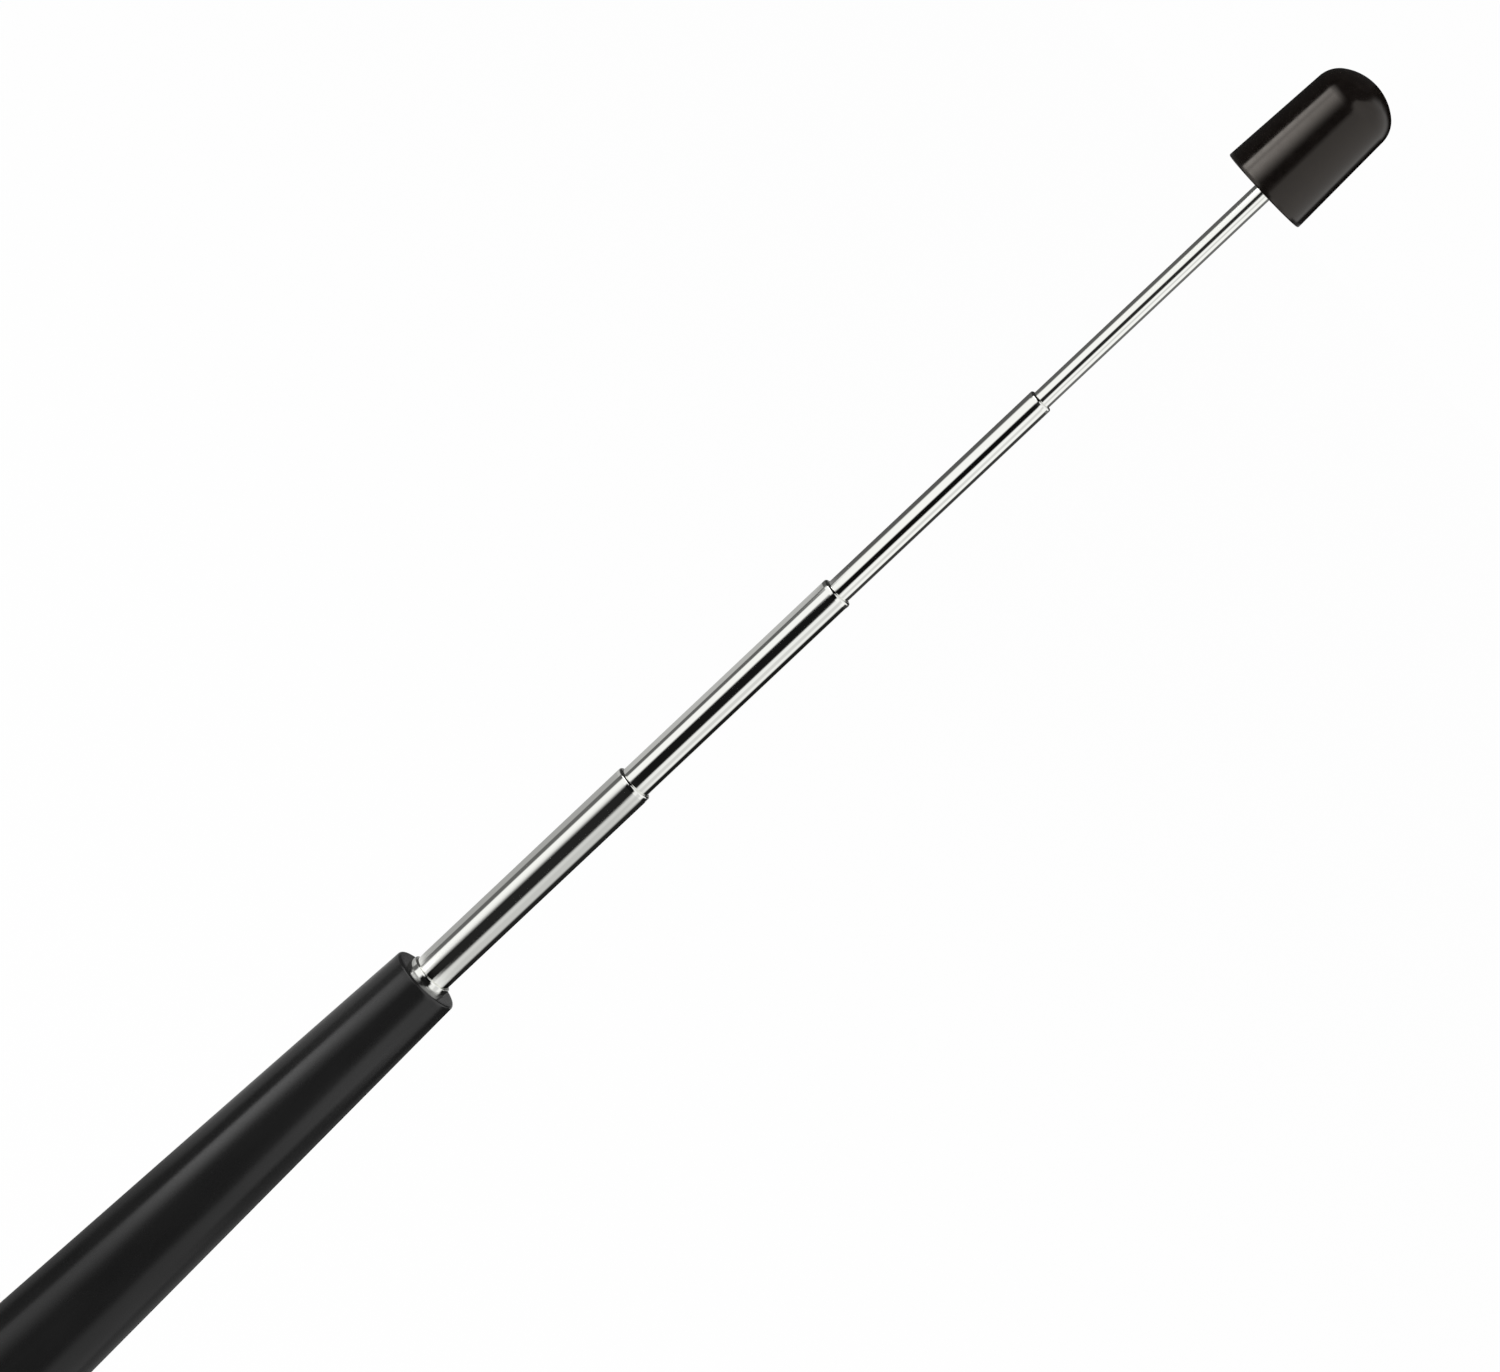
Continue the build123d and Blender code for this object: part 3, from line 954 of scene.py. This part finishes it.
# %% [markdown]
# The dome mirrors the upper wall and the roof, where the broad light box goes on. Its near edge
# turns away to the right as it rises up the wall and runs in over the roof, and with it the edge
# of the sheen bends over the dome. Each row is a distance and its softness in millimetres, the
# directions of the two edges, and the tone.

# %% The light box over the mast
BOX_ROWS = [
    (790, 170, -4, 138, 0.9), (870, 60, -8, 140, 0.88), (960, 60, -8, 146, 0.84),
    (1110, 40, -2, 152, 0.78), (1165, 40, 5, 152, 0.74), (1215, 40, 13, 152, 0.74),
    (1252, 36, 22, 150, 0.74), (1284, 32, 33, 144, 0.7), (1312, 30, 50, 126, 0.5),
]
BOX_EDGE_SOFTNESS = (10, 30)
BOX_END, BOX_END_SOFTNESS = 1338 * MM, 30 * MM

for along, softness, near_edge, far_edge, level in BOX_ROWS:
    light_box = (near_edge, far_edge, level, *BOX_EDGE_SOFTNESS)
    TIERS.append((along * MM, softness * MM, [BLACK_CLOTH, GREY_CLOTH, light_box]))
TIERS.append((BOX_END, BOX_END_SOFTNESS, [BLACK_CLOTH]))
print("sets of boards:", len(TIERS), "boards:", sum(len(boards) for _, _, boards in TIERS))

# %% [markdown]
# Three helpers turn the boards into a brightness. The first is a soft step, which every edge uses.
# The second lays the boards of one set over white paper. A board that starts at -180 degrees or
# ends at 180 goes on behind the mast, so it has no edge there. The third helper mixes neighbouring
# sets.

# %% Helpers: brightness of the screen
SHARPEST = 1e-6  # stands in for a softness of 0, which can't be divided by
BEHIND = 180


def soft_step(value, middle, softness):
    """0 before the middle and 1 behind it, with a soft change between."""
    share = min(max((value - middle) / max(softness, SHARPEST) + 0.5, 0), 1)
    return share * share * (3 - 2 * share)


def tone(boards, direction):
    """Brightness of the screen in a direction: the boards over white paper."""
    bright = WHITE_PAPER
    for start, end, level, start_softness, end_softness in boards:
        begun = 1 if start == -BEHIND else soft_step(direction, start, start_softness)
        ended = 0 if end == BEHIND else soft_step(direction, end, end_softness)
        bright += (level - bright) * begun * (1 - ended)
    return bright


def screen_tone(direction, along):
    """Brightness of the screen in a direction, at a distance along floor, wall and roof."""
    bright = 0.0
    for edge, softness, boards in TIERS:
        share = soft_step(along, edge, softness) if edge else 1
        if share > 0:
            bright += (tone(boards, direction) - bright) * share
    return bright


# %% [markdown]
# The screen is one line spun about the mast: out along the floor, up the wall and in under the
# roof. Its points stand close together where the boards change. Each of them keeps its brightness
# as an attribute, and the material turns that into light. An image could hold the boards too, but
# numbers are easier to change and need no file, and lamps in their place would light the floor.

# %% Helper: the line of the screen
SCREEN_STEPS = 360
ROWS_IN_A_CHANGE = 6
SCREEN_LENGTH = 2 * TENT_RADIUS + TENT_HEIGHT


def screen_point(along):
    """Radius and height of a place on the screen, going out, up and in again."""
    if along <= TENT_RADIUS:
        return along, TENT_CLEARANCE
    if along <= TENT_RADIUS + TENT_HEIGHT:
        return TENT_RADIUS, along - TENT_RADIUS
    return SCREEN_LENGTH - along, TENT_HEIGHT


# %% The screen
rows = {TENT_FOOT, TENT_RADIUS, TENT_RADIUS + TENT_HEIGHT, SCREEN_LENGTH}
for edge, softness, _ in TIERS[1:]:
    for step in range(ROWS_IN_A_CHANGE + 1):
        rows.add(edge + softness * (step / ROWS_IN_A_CHANGE - 0.5))
rows = sorted(rows)

bm = bmesh.new()
brightness = bm.verts.layers.float.new("brightness")
reach = bm.verts.layers.float.new("reach")
verts = wire(bm, [screen_point(along) for along in rows], closed=False)
for vert, along in zip(verts, rows):
    vert[reach] = along
spin_all(bm, steps=SCREEN_STEPS)
for vert in bm.verts:
    direction = math.degrees(math.atan2(vert.co.x, -vert.co.y))
    vert[brightness] = screen_tone(direction, vert[reach])
screen_mesh = bpy.data.meshes.new("light_screen")
bm.to_mesh(screen_mesh)
bm.free()
screen = bpy.data.objects.new("light_screen", screen_mesh)
bpy.context.scene.collection.objects.link(screen)
for ray in ("camera", "diffuse", "transmission", "volume_scatter", "shadow"):
    setattr(screen, f"visible_{ray}", False)
print("screen rows", len(rows), "faces", len(screen_mesh.polygons))

# %% Light from the screen
glow = bpy.data.materials.new("toned screen")
glow.use_nodes = True
glow.node_tree.nodes.clear()
reading = glow.node_tree.nodes.new("ShaderNodeAttribute")
reading.attribute_name = "brightness"
shine = glow.node_tree.nodes.new("ShaderNodeEmission")
output = glow.node_tree.nodes.new("ShaderNodeOutputMaterial")
glow.node_tree.links.new(reading.outputs["Fac"], shine.inputs["Strength"])
glow.node_tree.links.new(shine.outputs["Emission"], output.inputs["Surface"])
glow.cycles.emission_sampling = "NONE"
screen_mesh.materials.append(glow)
print("screen is seen in reflections only:", not screen.visible_camera)
